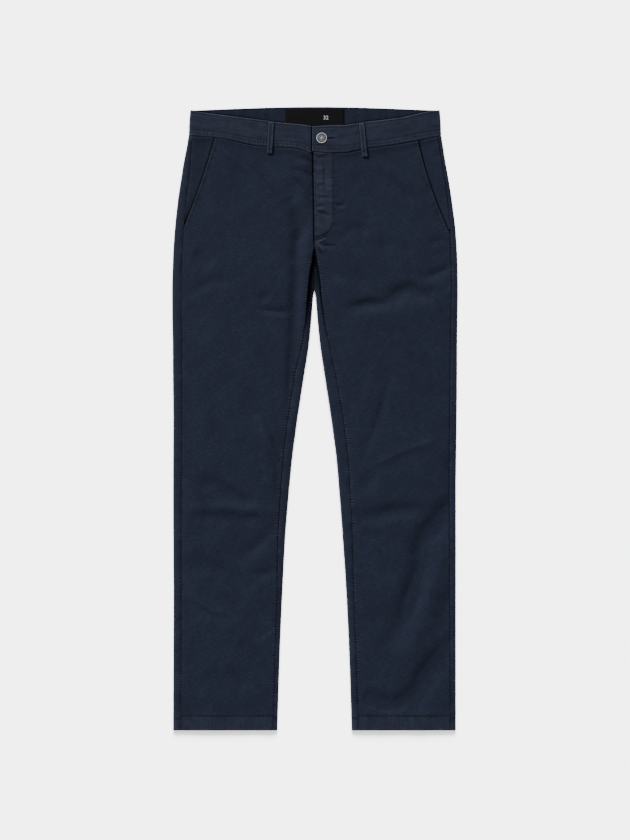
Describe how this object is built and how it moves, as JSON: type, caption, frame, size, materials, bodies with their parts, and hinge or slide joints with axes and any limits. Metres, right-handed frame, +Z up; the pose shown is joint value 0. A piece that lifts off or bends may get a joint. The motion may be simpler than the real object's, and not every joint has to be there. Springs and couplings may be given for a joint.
{
  "type": "chino trousers laid flat",
  "caption": "Slim chino trousers laid flat on their back, front up, with slant pockets, a buttoned fly front, belt loops and hemmed legs.",
  "frame": {"origin": "on the table, under the middle of the garment's outline", "axes": "+X towards the wearer's left, +Y from the hems to the waist, +Z up from the table through the front"},
  "size_m": [0.474, 1.034, 0.0137],
  "materials": {
    "twill": "matte garment-washed cotton twill, dark navy, paler on its raised seam edges",
    "label": "smooth black woven label, bare",
    "button": "grey four-hole button with a paler rim, satin",
    "thread": "matte spun sewing thread, a little paler than the cloth"
  },
  "bodies": {
    "root": {"front_left": "twill", "front_right": "twill", "back_left": "twill", "back_right": "twill", "pocket_facing_left": "twill", "pocket_facing_right": "twill", "waistband_left": "twill", "waistband_right": "twill", "belt_loop_front_left": "twill", "belt_loop_front_right": "twill", "belt_loop_back_left": "twill", "belt_loop_back_centre": "twill", "belt_loop_back_right": "twill", "waist_label": "label", "waist_button": "button"}
  },
  "joints": []
}
